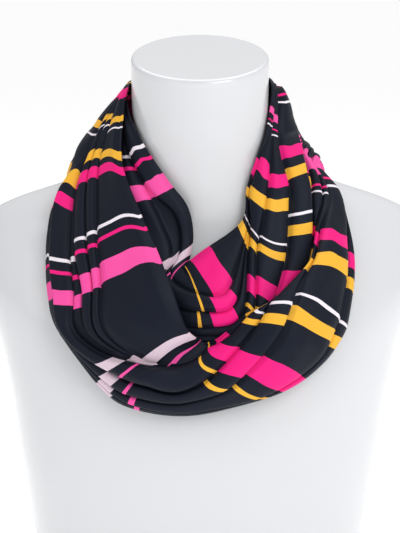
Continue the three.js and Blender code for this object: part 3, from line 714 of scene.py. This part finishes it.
OUTER_FOLDS = [
    ("nape", 1, (0.14, 0.30, 0.45, 0.56, 0.70, 0.80, 0.92, 1),
     (5, 6, 5, 6, 7, 5, 6, 4), (1, 1, 1, 1, 1, 2, 1, 1)),
    ("nape left", 1, (0.08, 0.16, 0.24, 0.30, 0.58, 0.75, 0.92, 1),
     (3, 4, 4, 3, 6, 6, 6, 4), (1, 1, 0, -1, 3, 4, 3, 1)),
    ("side left", 1, (0.05, 0.10, 0.15, 0.19, 0.78, 0.88, 0.95, 1),
     (2, 2, 2, 0, 4, 3, 3, 2), (0, 0, 0, -1, 2, 2, 2, 1)),
    ("gold high left", 2, (0.20, 0.32, 0.47, 0.53, 0.92, 0.95, 0.98, 1),
     (4, 4, 5, 1, 4, 4, 3, 2), (0, -1, -1, -2, 3, 3, 2, 1)),
    ("pink left", 2, (0.33, 0.46, 0.60, 0.66, 0.92, 0.95, 0.98, 1),
     (4, 5, 6, 2, 7, 5, 4, 3), (-1, -1, -1, -2, 5, 4, 3, 1)),
    ("white left", 3, (0.40, 0.50, 0.64, 0.70, 0.92, 0.95, 0.98, 1),
     (5, 5, 6, 1, 7, 5, 4, 3), (-1, -1, -1, -2, 5, 4, 3, 1)),
    ("rose left", 4, (0.42, 0.49, 0.60, 0.69, 0.90, 0.94, 0.97, 1),
     (6, 5, 5, 2, 7, 5, 4, 3), (-1, -1, -1, -2, 5, 4, 3, 1)),
    ("low left", 5, (0.50, 0.57, 0.66, 0.77, 0.91, 0.95, 0.98, 1),
     (8, 4, 4, -1, 8, 5, 4, 3), (0, -1, -2, -2, 3, 4, 3, 1)),
    ("lilac", 3, (0.42, 0.45, 0.47, 0.49, 0.70, 0.86, 0.94, 1),
     (4, -1, -1, -1, 11, 7, 5, 4), (-1, -1, -1, -2, 0, 2, 3, 1)),
    ("thin pink", 1, (0.34, 0.35, 0.36, 0.38, 0.64, 0.82, 0.94, 1),
     (0, -1, -1, -1, 12, 8, 6, 4), (-1, -1, -1, -2, 0, 1, 3, 1)),
    ("bottom", 0, (0.22, 0.23, 0.24, 0.26, 0.62, 0.78, 0.94, 1),
     (-1, -1, -1, -1, 11, 8, 6, 4), (-1, -1, -1, -2, 0, 1, 3, 1)),
    ("thin gold", 0, (0.02, 0.03, 0.04, 0.05, 0.36, 0.62, 0.92, 1),
     (-1, -1, -1, -1, 9, 8, 7, 4), (-1, -1, -1, -2, 0, 1, 3, 1)),
    ("wide pink", 1, (0.01, 0.02, 0.03, 0.04, 0.25, 0.50, 0.94, 1),
     (0, 0, 0, 0, 7, 8, 7, 4), (0, 0, 0, -1, 0, 1, 2, 1)),
    ("low right", 2, (0.01, 0.02, 0.03, 0.04, 0.18, 0.42, 0.94, 1),
     (1, 1, 1, 1, 5, 7, 7, 3), (1, 1, 1, 0, -1, 0, 1, 1)),
    ("gold low right", 2, (0.01, 0.02, 0.03, 0.04, 0.22, 0.48, 0.93, 1),
     (1, 1, 1, 1, 3, 7, 6, 3), (1, 1, 1, 0, -2, 0, 1, 1)),
    ("white low right", 2, (0.01, 0.02, 0.03, 0.04, 0.10, 0.40, 0.93, 1),
     (1, 1, 1, 1, 2, 6, 6, 3), (1, 1, 1, 0, -2, 0, 1, 1)),
    ("gold right", 2, (0.01, 0.02, 0.03, 0.04, 0.06, 0.20, 0.92, 1),
     (1, 1, 1, 1, 1, 5, 6, 3), (1, 1, 1, 0, 0, -1, 0, 1)),
    ("pink right", 2, (0.01, 0.02, 0.03, 0.04, 0.06, 0.20, 0.90, 1),
     (1, 1, 1, 1, 1, 5, 6, 3), (1, 1, 1, 0, 0, -1, 0, 1)),
    ("plain right", 1, (0.05, 0.10, 0.14, 0.18, 0.40, 0.54, 0.97, 1),
     (0, 0, 0, 0, 4, 4, 5, 3), (0, 0, 0, -1, -1, -1, 1, 1)),
    ("white high right", 1, (0.06, 0.12, 0.20, 0.28, 0.48, 0.62, 0.94, 1),
     (1, 1, 1, 3, 5, 4, 5, 3), (0, 0, 0, -1, -1, -1, 2, 1)),
    ("rose high right", 1, (0.08, 0.16, 0.24, 0.32, 0.50, 0.64, 0.86, 1),
     (2, 2, 2, 3, 5, 4, 5, 3), (0, 0, 0, -1, -1, -1, 2, 1)),
    ("side right", 1, (0.10, 0.20, 0.30, 0.40, 0.56, 0.70, 0.86, 1),
     (3, 3, 3, 3, 5, 5, 5, 3), (0, 0, 0, 0, 0, 0, 2, 1)),
]
OUTER_SLIPS = [
    # place, ahead in each fold, slant in each fold
    ("side left", (-6, -6, -6, -6, 0, 0, 0, 0), (0, 0, 0, 0, 10, 0, 0, 0)),
    ("gold high left", (-9, -9, -9, 0, -17, -5, -5, -5), (0, 0, 0, 0, 12, 0, 0, 0)),
    ("pink left", (0, 0, 0, 0, -9, -3, -3, -3), (0, 0, 0, 0, 20, 0, 0, 0)),
    ("white left", (2.5, 0, 0, -9, -9, -2, -2, -2), (0, 0, 0, 0, 5, 0, 0, 0)),
    ("rose left", (3, 0, 0, -11, -4, 4, 4, 4), (0, 0, 0, 0, 3, 0, 0, 0)),
    ("low left", (2, 0, 0, 0, 4, 0, 0, 0), (0, 0, 0, 0, 0, 0, 0, 0)),
    ("lilac", (-7, 0, 0, 0, 15, 4, 0, 0), (0, 0, 0, 0, 0, 0, 0, 0)),
    ("thin pink", (0, 0, 0, 0, 25, 18, 8, 3), (0, 0, 0, 0, 0, 0, 0, 0)),
    ("bottom", (-14, 0, 0, 0, 10, 7, 0, 0), (0, 0, 0, 0, 0, 0, 0, 0)),
    ("thin gold", (0, 0, 0, 0, 6, 3, -5, -6), (0, 0, 0, 0, -16, -8, 0, 0)),
    ("wide pink", (0, 0, 0, 0, 9, 4, 0, 0), (0, 0, 0, 0, -12, -4, 0, 0)),
    ("low right", (0, 0, 0, 0, 5, 2, 0, 3), (0, 0, 0, 0, 0, 0, 0, 0)),
    ("gold low right", (0, 0, 0, 0, 12, 5, 1, 7), (0, 0, 0, 0, 0, 0, 7, 0)),
    ("white low right", (0, 0, 0, 0, 12, 8, 2, 7), (0, 0, 0, 0, 0, 0, 6, 0)),
    ("gold right", (0, 0, 0, 0, 0, 3, 0, 8), (0, 0, 0, 0, 0, 0, 0, 0)),
    ("pink right", (0, 0, 0, 0, 0, 5, 0, 8), (0, 0, 0, 0, 0, 0, 0, 0)),
    ("plain right", (0, 0, 0, 0, 4, 4, 0, 0), (0, 0, 0, 0, 0, 0, 0, 0)),
    ("white high right", (0, 0, 0, -69, 11, 11, -3, 0), (0, 0, 0, 0, 0, 0, 0, 0)),
    ("rose high right", (0, 0, 0, 0, 3, 6, 0, 0), (0, 0, 0, 0, 0, 0, 0, 0)),
]
OUTER_CREASES = [
    ("nape left", 0.40, "gold high left", 0.66, 6, 1.1),
    ("gold high left", 0.08, "white left", 0.22, 6, 0.9),
    ("side left", 0.50, "white left", 0.82, 7, 1.1),
    ("pink left", 0.05, "low left", 0.26, 8, 1.7),
    ("pink left", 0.88, "low left", 0.80, 5, 1.0),
    ("white left", 0.30, "lilac", 0.14, 7, 1.5),
    ("rose left", 0.40, "thin pink", 0.20, 6, 1.3),
    ("thin pink", 0.56, "wide pink", 0.30, 5, 0.9),
    ("bottom", 0.84, "wide pink", 0.66, 6, 1.0),
    ("thin gold", 0.64, "low right", 0.58, 7, 1.2),
    ("wide pink", 0.84, "white low right", 0.64, 8, 1.7),
    ("low right", 0.56, "gold right", 0.82, 8, 1.5),
    ("white low right", 0.46, "plain right", 0.70, 7, 1.3),
    ("gold right", 0.88, "white high right", 0.72, 7, 1.2),
    ("plain right", 0.30, "side right", 0.46, 5, 0.8),
]
OUTER_DROOP = 7
# From the nape round to this place, the wrap lies over the inner one, with this gap. A ray finds
# the inner one from so far out, and reaches so far in.
LIES_OVER_TO = names_of(OUTER_SECTIONS).index("gold right")
CLEAR_OF_WRAP = 0.8
RAY_FROM = 20
RAY_REACH = 45


def clear_of_wrap(point, tree):
    """How far a point moves out to lie over the wrap below it."""
    if point["s"] > LIES_OVER_TO:
        return 0.0
    skin = point["skin"]
    found = tree.ray_cast(skin + point["out"] * RAY_FROM, -point["out"], RAY_REACH)
    if found[0] is None:
        return 0.0
    depth = (skin - found[0]).dot(point["out"])
    return max(0.0, CLOTH_WALL + CLEAR_OF_WRAP - depth)


outer_rows = gathered_rows(OUTER_SECTIONS, OUTER_FOLDS, OUTER_SLIPS, OUTER_CREASES, OUTER_DROOP)
inner_points = [point["skin"] for row in inner_rows for point in row]
inner_tree = BVHTree.FromPolygons(inner_points, ring_faces(inner_rows))
outer_pushes = [
    [max(clear_of_form(point), clear_of_wrap(point, inner_tree)) for point in row]
    for row in outer_rows
]
ease_pushes(outer_rows, outer_pushes)
outer_wrap = wrap_piece("outer_wrap", outer_rows)
outer_wrap.data.materials.append(jersey)
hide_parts("outer_left", "outer_front", "outer_right", "outer_back")
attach(outer_wrap, "root")


# Floor and light
# A wide pale floor. One large soft light stands high on the right, a weaker one on the left, and
# one hangs above, a little behind the form.
FLOOR_REACH = 200
PAPER = {
    "Base Color": (0.93, 0.93, 0.93, 1),
    "Roughness": 0.9,
    "Emission Color": (1, 1, 1, 1),
    "Emission Strength": 0.43,
}
LIGHTS = [
    # name, place, what it points at, width and height, power in watts
    ("window", (0.9, -1.3, 1.5), (0, -0.05, 0.3), (1.0, 1.2), 17),
    ("fill", (-1.4, -1.2, 1.0), (0, -0.05, 0.3), (1.2, 1.2), 3),
    ("top", (0, 0.6, 1.9), (0, 0, 0.3), (1.6, 1.2), 15),
]
ROOM_BRIGHTNESS = 0.58
corners = [(-1, -1), (1, -1), (1, 1), (-1, 1)]
floor_points = [(x * FLOOR_REACH, y * FLOOR_REACH, 0) for x, y in corners]
floor = mesh_piece("floor", floor_points, [(0, 1, 2, 3)])
floor.data.materials.append(finish("pale paper", PAPER))

for name, place, aim, size, power in LIGHTS:
    lamp = bpy.data.lights.new(name, "AREA")
    lamp.shape = "RECTANGLE"
    lamp.size, lamp.size_y = size
    lamp.energy = power
    holder = bpy.data.objects.new(name, lamp)
    bpy.context.scene.collection.objects.link(holder)
    holder.location = place
    holder.rotation_euler = (Vector(aim) - Vector(place)).to_track_quat("-Z", "Y").to_euler()
world = bpy.data.worlds.new("room")
world.use_nodes = True
world.node_tree.nodes["Background"].inputs["Color"].default_value = (1, 1, 1, 1)
world.node_tree.nodes["Background"].inputs["Strength"].default_value = ROOM_BRIGHTNESS
bpy.context.scene.world = world
bpy.context.scene.view_settings.view_transform = "Standard"
